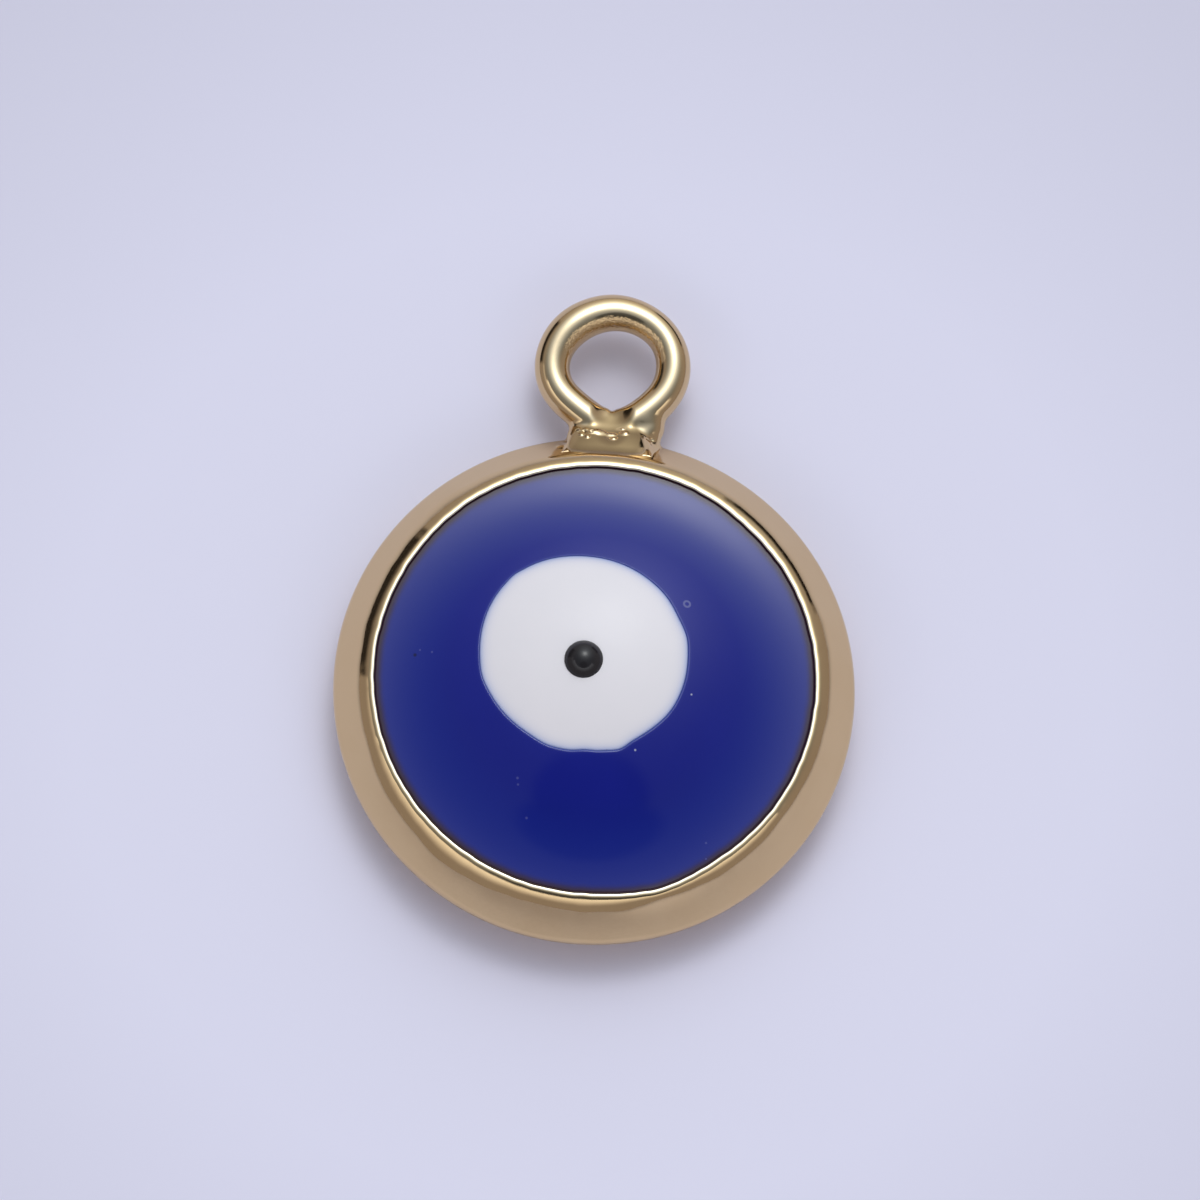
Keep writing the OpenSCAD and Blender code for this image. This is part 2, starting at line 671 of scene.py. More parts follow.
@dataclass(frozen=True)
class GoldFinish:
    """Polished gold, faintly wavy, cast or soldered in places; paler on the lip (wear
    and painted highlight) and on the ring's top (painted highlight), darker on the
    solder (duller solder and painted shade).

    Scales of noise are in waves per metre, and depths in metres.
    """

    name: str = "polished_gold"
    colour: Colour = (0.665, 0.487, 0.272)
    deep: Colour = (0.635, 0.455, 0.245)
    # paler gold: the lip's wear and painted highlight
    rubbed_and_highlight: Colour = (0.78, 0.70, 0.55)
    # darker gold for the solder: duller solder with painted shade in the joint's hollow
    solder: Colour = (0.385, 0.270, 0.140)
    rough: tuple[float, float] = (0.06, 0.13)
    cloud_scale: float = 900.0
    cloud_range: tuple[float, float] = (0.42, 0.66)
    cloud_most: float = 0.5
    wave_scale: float = 1500.0
    wave_depth: float = 0.0000012
    grain_scale: float = 14000.0
    grain_range: tuple[float, float] = (0.3, 0.75)
    grain_depth: float = 0.00000025
    cast_rough: float = 0.12
    cast_scale: float = 24000.0
    cast_depth: float = 0.0000085

    def make(self) -> bpy.types.Material:
        """Build the material.

        Returns:
            The gold finish.
        """
        board = NodeBoard.new(self.name)
        place = board.place()
        cloud = board.noise(place, self.cloud_scale, 3.0)
        grain = board.noise(place, self.grain_scale, 4.0)
        shader = board.add("ShaderNodeBsdfPrincipled", Metallic=1.0)
        tint = board.spread(cloud, *self.cloud_range, 0.0, self.cloud_most)
        colour = board.mix(tint, self.colour, self.deep)
        # painted highlight: paler gold on the lip and on the up-facing tops of the ring
        rubbed_and_highlight = board.mix(board.mark("rubbed_and_highlight_share"), colour, self.rubbed_and_highlight)
        # painted shade: darker gold in the joint's hollow, partly duller solder
        dimmed = board.mix(board.mark("solder_and_shade_share"), rubbed_and_highlight, self.solder)
        board.link(dimmed, shader.inputs["Base Color"])
        rough = board.spread(grain, *self.grain_range, *self.rough)
        cast = board.mark("grain_share")
        dull = board.math("MULTIPLY", cast, self.cast_rough)
        board.link(board.math("ADD", rough, dull), shader.inputs["Roughness"])
        swell = board.noise(place, self.wave_scale, 1.0)
        polish = board.relief(
            grain, self.grain_depth, board.relief(swell, self.wave_depth)
        )
        pitted = board.math("MULTIPLY", board.noise(place, self.cast_scale, 1.0), cast)
        cast_skin = board.relief(pitted, self.cast_depth, polish)
        board.link(cast_skin, shader.inputs["Normal"])
        board.out(shader)
        return board.owner


@dataclass(frozen=True)
class Wash:
    """A colour that covers the body where the piece is marked for it."""

    mark: str
    colour: Colour


@dataclass(frozen=True)
class Speck:
    """A tiny flaw in the enamel, in millimetres; a bubble shows as a thin ring."""

    x: float
    y: float
    z: float
    size: float
    tone: Tone
    bubble: bool = False


@dataclass(frozen=True)
class EnamelFinish:
    """Fired glass enamel: a deep even body under a glossy, slightly wavy skin.

    Scales of noise are in waves per metre and depths in metres. The edges of specks are
    shares of their size.
    """

    name: str
    body: Colour
    cloud: Colour
    rough: tuple[float, float] = (0.05, 0.11)
    ior: float = 1.43
    gloss: float = 0.5
    cloud_scale: float = 700.0
    cloud_range: tuple[float, float] = (0.38, 0.68)
    fine_scale: float = 9000.0
    fine_range: tuple[float, float] = (0.3, 0.7)
    wave_scale: float = 1200.0
    wave_depth: float = 0.0000010
    bubble_edge: tuple[float, float] = (0.15, 0.5)
    bubble_cover: float = 0.6
    dot_edge: tuple[float, float] = (0.4, 1.2)
    dot_cover: float = 0.9
    washes: Sequence[Wash] = ()
    specks: Sequence[Speck] = ()

    def speck(self, board: NodeBoard, place: Socket, speck: Speck) -> Socket:
        """Cover of one flaw.

        Args:
            board: the enamel's nodes.
            place: object coordinates of the piece.
            speck: the flaw.

        Returns:
            Its share, from 0 to 1.
        """
        middle = (speck.x * MM, speck.y * MM, speck.z * MM)
        away = board.vector("DISTANCE", place, middle).outputs["Value"]
        size, edge, cover = speck.size * MM, self.dot_edge, self.dot_cover
        if speck.bubble:
            edge, cover = self.bubble_edge, self.bubble_cover
            away = board.math("ABSOLUTE", board.math("SUBTRACT", away, size))
        inner, outer = edge[0] * size, edge[1] * size
        return board.spread(away, inner, outer, cover, 0.0, soft=True)

    def make(self) -> bpy.types.Material:
        """Build the material.

        Returns:
            The enamel finish.
        """
        board = NodeBoard.new(self.name)
        place = board.place()
        cloud = board.noise(place, self.cloud_scale, 4.0)
        fine = board.noise(place, self.fine_scale, 3.0)
        shader = board.add("ShaderNodeBsdfPrincipled", IOR=self.ior)
        shader.inputs["Specular IOR Level"].default_value = self.gloss
        clouded = board.spread(cloud, *self.cloud_range)
        colour = board.mix(clouded, self.body, self.cloud)
        for wash in self.washes:
            share = board.spread(board.mark(wash.mark), 0.0, 1.0)
            colour = board.mix(share, colour, wash.colour)
        for speck in self.specks:
            cover = self.speck(board, place, speck)
            colour = board.mix(cover, colour, speck.tone.value)
        board.link(colour, shader.inputs["Base Color"])
        rough = board.spread(fine, *self.fine_range, *self.rough)
        board.link(rough, shader.inputs["Roughness"])
        swell = board.noise(place, self.wave_scale, 1.0)
        board.link(board.relief(swell, self.wave_depth), shader.inputs["Normal"])
        board.out(shader)
        return board.owner


@dataclass(frozen=True)
class PaperFinish:
    """Pale cool paper of the table, with a painted pool of light: lighter near the
    pendant, a little darker away from it.
    """

    name: str = "pale_table_light_pool"
    # lighter paper near the pendant and darker far off: painted light falloff
    near: Colour = (0.84, 0.82, 0.98)
    far: Colour = (0.54, 0.52, 0.62)
    light_pool_r: float = 0.010
    light_falloff_r: float = 0.034
    rough: float = 0.9
    gloss: float = 0.1

    def make(self) -> bpy.types.Material:
        """Build the material.

        Returns:
            The paper finish.
        """
        board = NodeBoard.new(self.name)
        place = board.place()
        # painted pool of light: the paper's colour fades with distance from the pendant
        reach = board.add("ShaderNodeVectorMath", operation="LENGTH")
        board.link(place, reach.inputs[0])
        share = board.spread(reach.outputs["Value"], self.light_pool_r, self.light_falloff_r)
        colour = board.mix(share, self.near, self.far)
        shader = board.add("ShaderNodeBsdfPrincipled", Roughness=self.rough)
        shader.inputs["Specular IOR Level"].default_value = self.gloss
        board.link(colour, shader.inputs["Base Color"])
        board.out(shader)
        return board.owner


# ---------------------------------------------------------------- gold


@dataclass(frozen=True)
class CupSide:
    """Polished side of the setting: belly, flank, shoulder and the narrow flat lip.

    The side is given by how far its face leans from upright towards the edge, which is
    what decides the mirrored surroundings of polished metal.
    """

    mid_h: float = 0.875
    top: float = 1.779
    belly_rim: float = 5.0
    belly_lean: float = 55.0
    flank_lean: float = 52.4
    mean_lean: float = 53.5
    flank_in: float = 4.55
    shoulder_in: float = 4.330
    shoulder_lean: float = 29.0
    lip_out: float = 4.256
    top_turn_r: float = 0.55
    counts: tuple[int, int, int, int] = (12, 20, 52, 12)

    def belly_radius(self, flank_in: float, flank_top: float) -> float:
        """Radius of the belly that gives the flank its mean lean.

        Args:
            flank_in: radius at which the flank ends, in millimetres.
            flank_top: height at which it ends.

        Returns:
            The radius in millimetres.
        """
        steep = math.tan(math.radians(self.mean_lean))
        lean = math.radians(self.belly_lean)
        rise = flank_top - self.mid_h - steep * (self.belly_rim - flank_in)
        return rise / (math.cos(lean) - steep * (1 - math.sin(lean)))

    def points(self, shift: float = 0.0) -> np.ndarray:
        """Section from the widest line up to the outer edge of the flat lip.

        Args:
            shift: how far outwards the shoulder begins, in millimetres.

        Returns:
            Rows of radius and height.
        """
        outer, inner = math.radians(self.flank_lean), math.radians(self.shoulder_lean)
        flank_in = self.flank_in + shift
        shoulder_r = (flank_in - self.shoulder_in) / (math.sin(outer) - math.sin(inner))
        lip_r = (self.shoulder_in - self.lip_out) / math.sin(inner)
        round_h = lip_r * (1 - math.cos(inner))
        shoulder_h = shoulder_r * (math.cos(inner) - math.cos(outer))
        belly_r = self.belly_radius(flank_in, self.top - round_h - shoulder_h)
        belly = arc(
            self.belly_rim - belly_r,
            self.mid_h,
            belly_r,
            np.linspace(90, self.belly_lean, self.counts[0]),
        )
        shoulder = arc(
            self.shoulder_in - shoulder_r * math.sin(inner),
            self.top - round_h - shoulder_r * math.cos(inner),
            shoulder_r,
            np.linspace(self.flank_lean, self.shoulder_lean, self.counts[2]),
        )
        lip = arc(
            self.lip_out,
            self.top - lip_r,
            lip_r,
            np.linspace(self.shoulder_lean, 0, self.counts[3]),
        )
        t = np.linspace(0, 1, self.counts[1])[:, None]
        run, rise = shoulder[0] - belly[-1]
        bend = math.tan(math.radians(self.belly_lean)) - math.tan(outer)
        flank = belly[-1] + t * (run, rise)
        flank -= 0.25 * bend * run * t * (1 - t) * (0, 1)
        return np.concatenate([belly, flank[1:], shoulder[1:], lip[1:]])

    def distance(self, points: np.ndarray) -> np.ndarray:
        """Distance of points from the side, negative inside the metal.

        Args:
            points: rows of x, y and z, in millimetres.

        Returns:
            One distance for each row.
        """
        section = self.points() - np.array([0.0, self.mid_h])
        radius = np.hypot(points[:, 0], points[:, 1])
        height = np.abs(points[:, 2] - self.mid_h)
        first = self.counts[0] - 1
        last = first + self.counts[1] - 1
        low_r, low_h = section[first]
        high_r, high_h = section[last]
        run, rise = low_r - high_r, high_h - low_h
        length = math.hypot(run, rise)
        along = ((low_r - radius) * run + (height - low_h) * rise) / length
        flank = ((radius - low_r) * rise + (height - low_h) * run) / length
        belly_r = self.belly_radius(high_r, high_h + self.mid_h)
        belly = np.hypot(radius - (self.belly_rim - belly_r), height) - belly_r
        turn_r, slope = self.top_turn_r, math.atan2(rise, run)
        away_r = radius - high_r + turn_r * math.sin(slope)
        away_h = height - high_h + turn_r * math.cos(slope)
        shoulder = np.hypot(away_r, away_h) - turn_r
        return np.where(along < 0, belly, np.where(along > length, shoulder, flank))


@dataclass(frozen=True)
class LipLine:
    """How the hand-worked lip strays from a true circle, in millimetres."""

    swerves: Sequence[Swerve] = (
        Swerve(290.0, 10.5, 0.068),
        Swerve(128.0, 14.0, 0.020),
        Swerve(48.0, 11.0, -0.027),
        Swerve(238.0, 32.0, -0.013),
        Swerve(325.0, 14.0, 0.010),
        Swerve(176.0, 10.0, 0.008),
    )
    ripples: Sequence[Ripple] = (
        Ripple(31, 0.0022, 0.4),
        Ripple(47, 0.0020, 1.9),
        Ripple(68, 0.0017, 3.1),
        Ripple(93, 0.0013, 5.0),
    )

    def shift(self, angle: np.ndarray) -> np.ndarray:
        """Outward shift at the given bearings, in degrees."""
        return stray(angle, self.swerves, self.ripples)


@dataclass
class GoldSetting:
    """Round cup with its lip, flank, flat back and tray."""

    sizes: PendantSizes
    finish: bpy.types.Material
    side: CupSide = field(default_factory=CupSide)
    lip: LipLine = field(default_factory=LipLine)
    steps: int = 560
    shoulder_swerves: Sequence[Swerve] = (
        Swerve(-32.0, 19.0, -0.056),
        Swerve(-64.0, 13.0, -0.040),
        Swerve(-100.0, 8.0, -0.036),
        Swerve(-79.0, 6.0, 0.008),
        Swerve(-127.0, 8.0, 0.066),
        Swerve(-147.0, 8.0, 0.042),
        Swerve(-167.0, 8.5, 0.004),
        Swerve(165.0, 20.0, 0.032),
        Swerve(133.0, 14.0, 0.090),
        Swerve(50.0, 26.0, -0.008),
        Swerve(13.0, 9.0, 0.040),
    )
    shoulder_ripples: Sequence[Ripple] = (
        Ripple(19, 0.005, 0.8),
        Ripple(29, 0.004, 2.2),
        Ripple(43, 0.003, 4.0),
    )
    # how far the shoulder may wander, and in how many sections it is reckoned
    shoulder_reach: float = 0.15
    shoulder_levels: int = 61
    # the lip's inner corner, and how its straying fades outwards and downwards
    lip_corner: float = 0.030
    lip_hold: float = 0.08
    lip_fade: float = 0.20
    lip_rise: float = 0.4
    # slight flat that polishing left round the top of the shoulder
    chamfer_drop: float = 0.004
    chamfer_bearing: float = 88.0
    chamfer_half: float = 62.0
    chamfer_blur: float = 9.0
    chamfer_from: float = 4.33
    chamfer_to: float = 4.93
    chamfer_start: float = 0.14
    chamfer_fade: float = 0.43
    # edge of the paler lip: wear with painted highlight
    rubbed_and_highlight_r: float = 4.280
    rubbed_and_highlight_blur: float = 0.02

    def profile(self) -> np.ndarray:
        """Half section from the middle of the back round to the tray's floor.

        Returns:
            Rows of radius and height.
        """
        s, side = self.sizes, self.side
        turn_x, turn_z = s.shoulder_c
        edge = arc(
            turn_x,
            s.setting_h - turn_z,
            s.shoulder_r,
            180 - np.linspace(0, s.flank_turn, 12),
        )
        belly = arc(
            s.setting_r - s.belly_r,
            s.mid_h,
            s.belly_r,
            180 - np.linspace(s.flank_turn, 90, 10)[:-1],
        )
        corner = arc(
            s.opening_r + self.lip_corner,
            side.top - self.lip_corner,
            self.lip_corner,
            -np.linspace(0, 90, 7),
        )
        back = [(radius, 0.0) for radius in (0.0, 1.4, 2.8, 3.8)]
        lip = [(side.lip_out - step, side.top) for step in (0.006, 0.012)]
        wall = [(s.opening_r, side.top - step) for step in (0.05, 0.10)]
        wall += [(s.opening_r, s.floor_t + 0.02), (s.opening_r - 0.02, s.floor_t)]
        floor = [(2.0, s.floor_t), (0.0, s.floor_t)]
        upper = [side.points(), lip, corner, wall, floor]
        return np.concatenate([back, edge, belly, *upper])

    def worked_side(self, radius: np.ndarray, points: np.ndarray) -> np.ndarray:
        """Wandering shoulder of the side, between sections of many shoulder widths.

        Args:
            radius: distances of the side's points from the axis.
            points: the side's points, as rows of x, y and z.

        Returns:
            Rows of the new radius and height.
        """
        plain = self.side.points()
        across, above = radius[:, None] - plain[:, 0], points[:, 2, None] - plain[:, 1]
        row = np.hypot(across, above).argmin(axis=1)
        reach = self.shoulder_reach
        levels = np.linspace(-reach, reach, self.shoulder_levels)
        sections = np.stack([self.side.points(level) for level in levels])
        shift = stray(bearing(points), self.shoulder_swerves, self.shoulder_ripples)
        shift = np.clip(shift, 0.001 - reach, reach - 0.001)
        place = (shift - levels[0]) / (levels[1] - levels[0])
        under = place.astype(int)
        share = (place - under)[:, None]
        return sections[under, row] * (1 - share) + sections[under + 1, row] * share

    def unevenness(self, points: np.ndarray) -> np.ndarray:
        """Hand-made unevenness: a wandering lip and a shoulder of changing width.

        Args:
            points: the turned piece's points, in millimetres.

        Returns:
            The moved points.
        """
        s = self.sizes
        radius = np.hypot(points[:, 0], points[:, 1])
        angle = bearing(points)
        height = points[:, 2]
        upper = height > s.mid_h
        on_side = (height > s.mid_h - 1e-4) & (radius > self.side.lip_out + 0.002)
        new_r, new_z = radius.copy(), height.copy()
        worked = self.worked_side(radius[on_side], points[on_side])
        new_r[on_side], new_z[on_side] = worked.T
        beyond = np.clip(new_r - s.opening_r - self.lip_hold, 0, None)
        near_lip = bump(beyond, self.lip_fade)
        near_lip *= radius >= s.opening_r - 0.05
        near_lip *= np.clip((height - s.mid_h) / self.lip_rise, 0, 1)
        from_top = np.abs(apart(angle, self.chamfer_bearing)) - self.chamfer_half
        start = np.clip((new_r - self.chamfer_from) / self.chamfer_start, 0, 1)
        fade = np.clip((self.chamfer_to - new_r) / self.chamfer_fade, 0, 1)
        drop = self.chamfer_drop * start * (2 - start) * fade
        new_z -= upper * step_down(from_top, self.chamfer_blur) * drop
        new_r += near_lip * self.lip.shift(angle)
        moved = points.copy()
        moved[:, :2] *= (new_r / np.maximum(radius, 1e-6))[:, None]
        moved[:, 2] = new_z
        return moved

    def mark_lip(self, obj: bpy.types.Object) -> None:
        """Store which points lie on the paler lip: worn, with painted highlight.

        Args:
            obj: the turned piece, in millimetres.
        """
        points = Bench.read(obj)
        out = np.hypot(points[:, 0], points[:, 1]) - self.lip.shift(bearing(points))
        # paler flat lip: wear with painted highlight
        share = np.clip((self.rubbed_and_highlight_r - out) / self.rubbed_and_highlight_blur, 0, 1)
        share *= points[:, 2] > self.side.top - 0.02
        Bench.mark(obj, {"rubbed_and_highlight_share": share})

    def build(self) -> bpy.types.Object:
        """Turn, roughen and dress the setting.

        Returns:
            The setting.
        """
        obj = Bench.turn("setting_cup", self.profile(), self.steps)
        Bench.shape(obj, self.unevenness)
        self.mark_lip(obj)
        return Bench.finish(obj, self.finish, Slot.GOLD, "gold_setting")


def blend(a: np.ndarray, b: np.ndarray, width: float | np.ndarray) -> np.ndarray:
    """Smaller of two distances, rounded off where they are nearly equal.

    Args:
        a: first distances.
        b: second distances.
        width: how far apart they may lie to be rounded off.

    Returns:
        The blended distances.
    """
    share = np.clip(0.5 + 0.5 * (b - a) / width, 0, 1)
    return b + (a - b) * share - width * share * (1 - share)


@dataclass(frozen=True)
class Lump:
    """Rounded lump of solder: its middle, its half sizes, its blend and its tilt.

    The tilt, in degrees, raises the side towards the cup.
    """

    x: float
    y: float
    z: float
    rx: float
    ry: float
    rz: float
    width: float = 0.08
    tilt: float = 0.0

    def distance(self, points: np.ndarray) -> np.ndarray:
        """Distance of points from the lump's skin.

        Args:
            points: rows of x, y and z, in millimetres.

        Returns:
            One distance for each row, negative inside.
        """
        turn = math.radians(self.tilt)
        c, t = math.cos(turn), math.sin(turn)
        x, y, z = (points - np.array([self.x, self.y, self.z])).T
        half_sizes = np.array([self.rx, self.ry, self.rz])
        scaled = np.stack([x, y * c - z * t, y * t + z * c], 1) / half_sizes
        length = np.linalg.norm(scaled, axis=1)
        steep = np.linalg.norm(scaled / half_sizes, axis=1)
        return length * (length - 1) / np.maximum(steep, 1e-6)


@dataclass
class RingJoint:
    """Hanging ring with its two ends sunk in the solder that holds it to the cup.

    A rough ring, balls and blocks are fused, then each point is brought onto the true
    skin, so that the wire stays smooth and runs softly into the solder.
    """

    sizes: PendantSizes
    finish: bpy.types.Material
    side: CupSide = field(default_factory=CupSide)
    # the rough ring and balls, the mesh, and how it is brought onto the skin
    ring_facets: tuple[int, int] = (128, 32)
    ball_most: float = 0.6
    soften: float = 0.5
    first_voxel: float = 0.034
    voxel: float = 0.0185
    settle_steps: int = 5
    settle_reach: float = 0.03
    # how widely the joint runs into the cup's side, in its middle and further aside
    cup_width: float = 0.10
    cup_inset: float = 0.020
    side_width: float = 0.27
    side_middle: float = -0.05
    side_from: float = 0.60
    side_run: float = 0.36
    # where the joint ends aside, and towards the tray
    joint_half: float = 1.30
    inner_r: float = 4.36
    inner_y: float = 4.1
    # cast grain on the inner side of the wire: depth, bearings and leans
    grain_sink: float = 0.005
    grain_bearing: float = 92.0
    grain_half: float = 73.0
    grain_from: float = 26.0
    grain_to: float = 150.0
    # painted shade on the solder, and painted highlight on the top, the top by how far
    # its face looks up
    solder_and_shade_most: float = 0.85
    highlight_most: float = 0.35
    highlight_from: float = 0.90
    highlight_run: float = 0.07
    # the wire's middle line and thickness
    wire_thin: float = 0.013
    pinches: Sequence[Swerve] = (
        Swerve(233.0, 38.0, 0.185),
        Swerve(312.0, 36.0, 0.135),
        Swerve(273.0, 7.0, -0.035),
        Swerve(40.0, 38.0, -0.052),
        Swerve(88.0, 22.0, -0.016),
    )
    swells: Sequence[Swerve] = (
        Swerve(130.0, 32.0, 0.034),
        Swerve(92.0, 20.0, 0.012),
        Swerve(38.0, 22.0, -0.012),
    )
    # places and sizes of the blocks that start the foot
    blocks: Sequence[tuple[Place, Place]] = (
        ((0.09, 5.0, 0.87), (1.88, 1.04, 0.35)),
        ((0.0, 4.56, 0.875), (2.5, 0.36, 0.9)),
    )
    lumps: Sequence[Lump] = (
        Lump(0.07, 5.03, 0.84, 0.86, 0.40, 0.31, 0.16),
        Lump(-0.08, 4.80, 1.262, 0.70, 0.85, 0.14, 0.07, 31.0),
        Lump(0.36, 4.88, 1.150, 0.42, 0.60, 0.14, 0.14, 31.0),
        Lump(0.80, 5.27, 0.84, 0.27, 0.28, 0.26, 0.18),
    )
    granules: Sequence[Lump] = (
        Lump(-0.595, 5.07, 1.205, 0.050, 0.045, 0.050, 0.02),
        Lump(-0.520, 4.95, 1.285, 0.045, 0.040, 0.045, 0.02),
        Lump(-0.40, 4.90, 1.330, 0.045, 0.050, 0.045, 0.02),
        Lump(-0.44, 5.08, 1.240, 0.045, 0.045, 0.045, 0.02),
        Lump(-0.31, 5.03, 1.275, 0.070, 0.050, 0.045, 0.03),
        Lump(-0.15, 5.02, 1.265, 0.140, 0.090, 0.075, 0.04),
        Lump(0.05, 4.99, 1.285, 0.120, 0.085, 0.075, 0.03),
        Lump(0.10, 4.90, 1.350, 0.070, 0.060, 0.055, 0.02),
        Lump(0.30, 5.03, 1.260, 0.090, 0.070, 0.060, 0.03),
        Lump(0.22, 5.14, 1.215, 0.090, 0.040, 0.040, 0.03),
    )
    pits: Sequence[Lump] = (
        Lump(0.05, 5.30, 1.380, 0.37, 0.56, 0.24, 0.13, 31.0),
        Lump(-0.47, 5.04, 1.27, 0.045, 0.045, 0.05, 0.02),
        Lump(-0.774, 5.021, 1.12, 0.04, 0.05, 0.08, 0.03),
        Lump(0.835, 4.985, 1.14, 0.09, 0.035, 0.08, 0.03),
    )

    def pinch(self, angle: np.ndarray) -> np.ndarray:
        """How far the wire's middle line runs inside a true circle.

        Args:
            angle: directions from the ring's middle, in degrees.

        Returns:
            Distances in millimetres.
        """
        return stray(angle, self.pinches)

    def thickness(self, angle: np.ndarray) -> np.ndarray:
        """Radius of the wire, which its casting left uneven, round the ring."""
        return self.sizes.wire_r - self.wire_thin + stray(angle, self.swells)

    def wire(self, points: np.ndarray) -> np.ndarray:
        """Distance of points from the bent wire.

        Args:
            points: rows of x, y and z, in millimetres.

        Returns:
            One distance for each row, negative inside the wire.
        """
        s = self.sizes
        angle = bearing(points, 0.0, s.ring_y)
        away = np.hypot(points[:, 0], points[:, 1] - s.ring_y)
        middle = s.ring_r - self.pinch(angle)
        change = self.pinch(angle + 1) - self.pinch(angle - 1)
        slant = change / math.radians(2) / middle
        inward = (away - middle) / np.sqrt(1 + slant**2)
        rise = points[:, 2] - s.mid_h
        return np.hypot(inward, rise) - self.thickness(angle)

    def skin(self, points: np.ndarray, fine: bool = True) -> np.ndarray:
        """Distance of points from the finished skin.

        Args:
            points: rows of x, y and z, in millimetres.
            fine: whether the granules and pits count.

        Returns:
            One distance for each row, negative inside the metal.
        """
        body = self.wire(points)
        for lump in self.lumps:
            body = blend(body, lump.distance(points), lump.width)
        cup = self.side.distance(points) + self.cup_inset
        cup = np.maximum(cup, np.abs(points[:, 0]) - self.joint_half)
        aside = np.abs(points[:, 0] - self.side_middle) - self.side_from
        aside = np.clip(aside / self.side_run, 0, 1)
        aside *= aside * (3 - 2 * aside)
        width = self.cup_width + (self.side_width - self.cup_width) * aside
        body = blend(body, cup, width)
        if fine:
            for grain in self.granules:
                body = blend(body, grain.distance(points), grain.width)
            for pit in self.pits:
                body = -blend(-body, pit.distance(points), pit.width)
        radius = np.hypot(points[:, 0], points[:, 1])
        body = np.maximum(body, self.inner_r - radius)
        return np.maximum(body, self.inner_y - points[:, 1])

    def settle(self, points: np.ndarray, fine: bool) -> np.ndarray:
        """Bring points onto the skin in a few short steps.

        Args:
            points: rows of x, y and z, in millimetres.
            fine: whether the granules and pits count.

        Returns:
            The moved points.
        """
        step = 0.002
        moved = points.copy()
        for _ in range(self.settle_steps):
            here = self.skin(moved, fine)
            slope = np.empty_like(moved)
            for axis in range(3):
                probe = moved.copy()
                probe[:, axis] += step
                slope[:, axis] = (self.skin(probe, fine) - here) / step
            steep = np.maximum((slope**2).sum(axis=1), 0.2)
            reach = np.clip(here / steep, -self.settle_reach, self.settle_reach)
            moved -= reach[:, None] * slope
        return moved

    def grain_cover(self, points: np.ndarray) -> np.ndarray:
        """Share of cast grain, which stays on the unpolished inner side of the ring.

        Args:
            points: rows of x, y and z, in millimetres.

        Returns:
            One share for each row, from 0 to 1.
        """
        s = self.sizes
        angle = bearing(points, 0.0, s.ring_y)
        t = np.radians(angle)
        middle = s.ring_r - self.pinch(angle)
        inward = middle - np.hypot(points[:, 0], points[:, 1] - s.ring_y)
        rise = points[:, 2] - s.mid_h
        lean = np.degrees(np.arctan2(inward, rise))
        ragged = 2.4 * np.sin(7 * t) + 1.8 * np.sin(17 * t + 1) + 1.2 * np.sin(41 * t)
        from_top = np.abs(apart(angle, self.grain_bearing)) - self.grain_half
        cover = step_down(self.grain_from + ragged - lean, 2.0)
        cover *= step_down(lean - self.grain_to, 6.0) * step_down(from_top, 3.0)
        return cover * (np.hypot(inward, rise) < s.wire_r * 1.08)

    def inner_grain(self, points: np.ndarray) -> np.ndarray:
        """Sink the grainy side of the ring a little, as polishing never reached it.

        Args:
            points: rows of x, y and z, in millimetres.

        Returns:
            The moved points.
        """
        s = self.sizes
        middle = s.ring_r - self.pinch(bearing(points, 0.0, s.ring_y))
        away = points - np.array([0.0, s.ring_y, s.mid_h])
        flat = np.hypot(away[:, 0], away[:, 1])
        out = away.copy()
        out[:, :2] *= ((flat - middle) / flat)[:, None]
        out /= np.linalg.norm(out, axis=1)[:, None]
        return points - out * (self.grain_sink * self.grain_cover(points))[:, None]

    def solder_and_shade_cover(self, points: np.ndarray) -> np.ndarray:
        """Share of darker solder colour: bare solder, duller than the wire and the cup,
        with painted shade in the joint's hollow.

        Args:
            points: rows of x, y and z, in millimetres.

        Returns:
            One share for each row, from 0 to 1.
        """
        x, y = points[:, 0], points[:, 1]
        middle = 0.02 + 0.30 * (y - 5.0)
        half = 0.64 - 1.05 * np.clip(y - 5.06, 0, None)
        ragged = 0.03 * np.sin(9 * x + 4 * y) + 0.02 * np.sin(23 * x - 11 * y)
        cover = step_down(np.abs(x - middle) - half + ragged, 0.035)
        # painted shade stays lighter on the granules' tops
        for grain in self.granules:
            cover = cover * np.clip(0.25 + grain.distance(points) / 0.04, 0.25, 1)
        return self.solder_and_shade_most * cover

    def mark_wear_and_highlight(self, obj: bpy.types.Object) -> None:
        """Store the cast grain, the darker solder with its painted shade, and the
        painted highlight on the top.

        Args:
            obj: the ring with its joint, in millimetres.
        """
        points = Bench.read(obj)
        upward = Bench.read(obj, "normal")[:, 2]
        # painted highlight: paler gold where the face looks up towards the lamp
        rubbed_and_highlight = np.clip((upward - self.highlight_from) / self.highlight_run, 0, 1)
        shares = {
            "grain_share": self.grain_cover(points),
            "solder_and_shade_share": self.solder_and_shade_cover(points),
            "rubbed_and_highlight_share": self.highlight_most * rubbed_and_highlight,
        }
        Bench.mark(obj, shares)

